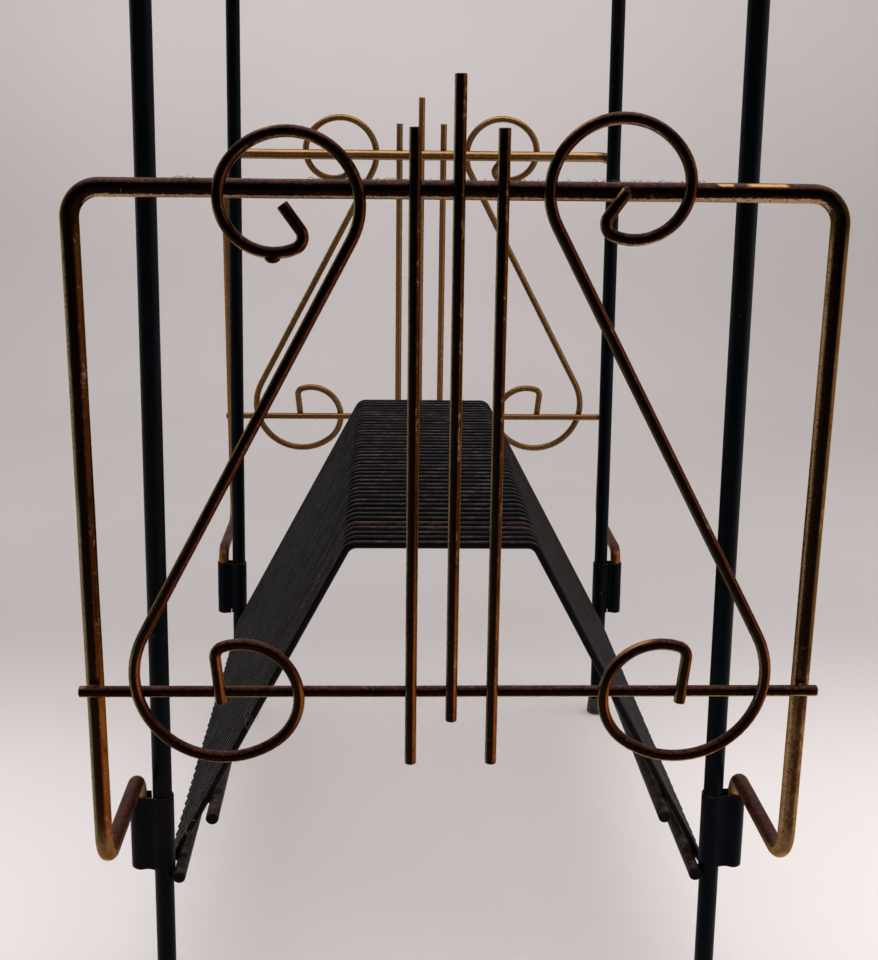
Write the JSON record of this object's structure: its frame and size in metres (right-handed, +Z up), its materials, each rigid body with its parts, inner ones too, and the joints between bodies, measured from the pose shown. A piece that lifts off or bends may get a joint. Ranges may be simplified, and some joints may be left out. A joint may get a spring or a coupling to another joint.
{
  "type": "record storage stand",
  "caption": "Free-standing black wire rack that holds records upright between bent hoops, with a shelf on four slim uprights and a lift-off brass lyre panel at each end.",
  "frame": {"origin": "on the floor, at the middle of the stand", "axes": "+Z up, +Y along the row of hoops from the front lyre panel to the rear one, +X across the stand"},
  "size_m": [0.3894, 0.7096, 0.7121],
  "materials": {
    "black_enamel": "satin black enamel on steel rod and wire, worn and dusty",
    "aged_brass": "aged, tarnished brass plating with darker reddish patina",
    "foot_rubber": "matt black rubber"
  },
  "bodies": {
    "stand": {"upright_front_left": "black_enamel", "upright_front_right": "black_enamel", "upright_rear_left": "black_enamel", "upright_rear_right": "black_enamel", "foot_front_left": "foot_rubber", "foot_front_right": "foot_rubber", "foot_rear_left": "foot_rubber", "foot_rear_right": "foot_rubber", "sleeve_front_left": "black_enamel", "sleeve_front_right": "black_enamel", "sleeve_rear_left": "black_enamel", "sleeve_rear_right": "black_enamel", "lower_rail_left": "black_enamel", "lower_rail_right": "black_enamel", "upper_rail_left": "black_enamel", "upper_rail_right": "black_enamel", "hoops_01": "black_enamel", "hoops_02": "black_enamel", "hoops_03": "black_enamel", "hoops_04": "black_enamel", "hoops_05": "black_enamel", "hoops_06": "black_enamel", "hoops_07": "black_enamel", "hoops_08": "black_enamel", "hoops_09": "black_enamel", "hoops_10": "black_enamel", "hoops_11": "black_enamel", "hoops_12": "black_enamel", "hoops_13": "black_enamel", "hoops_14": "black_enamel", "shelf_rail_left": "black_enamel", "shelf_rail_right": "black_enamel", "shelf_bar_front": "black_enamel", "shelf_bar_rear": "black_enamel", "shelf_wires": "black_enamel"},
    "front_lyre": {"front_lyre_frame": "aged_brass", "front_crossbar": "aged_brass", "front_string_left": "aged_brass", "front_string_middle": "aged_brass", "front_string_right": "aged_brass", "front_scroll_left": "aged_brass", "front_scroll_right": "aged_brass"},
    "rear_lyre": {"rear_lyre_frame": "aged_brass", "rear_crossbar": "aged_brass", "rear_string_left": "aged_brass", "rear_string_middle": "aged_brass", "rear_string_right": "aged_brass", "rear_scroll_left": "aged_brass", "rear_scroll_right": "aged_brass"}
  },
  "joints": [
    {"name": "front_lyre_lift", "type": "slide", "parent": "stand", "child": "front_lyre", "axis": [0, 0, 1], "range_m": [0, 0.05]},
    {"name": "rear_lyre_lift", "type": "slide", "parent": "stand", "child": "rear_lyre", "axis": [0, 0, 1], "range_m": [0, 0.05]}
  ]
}
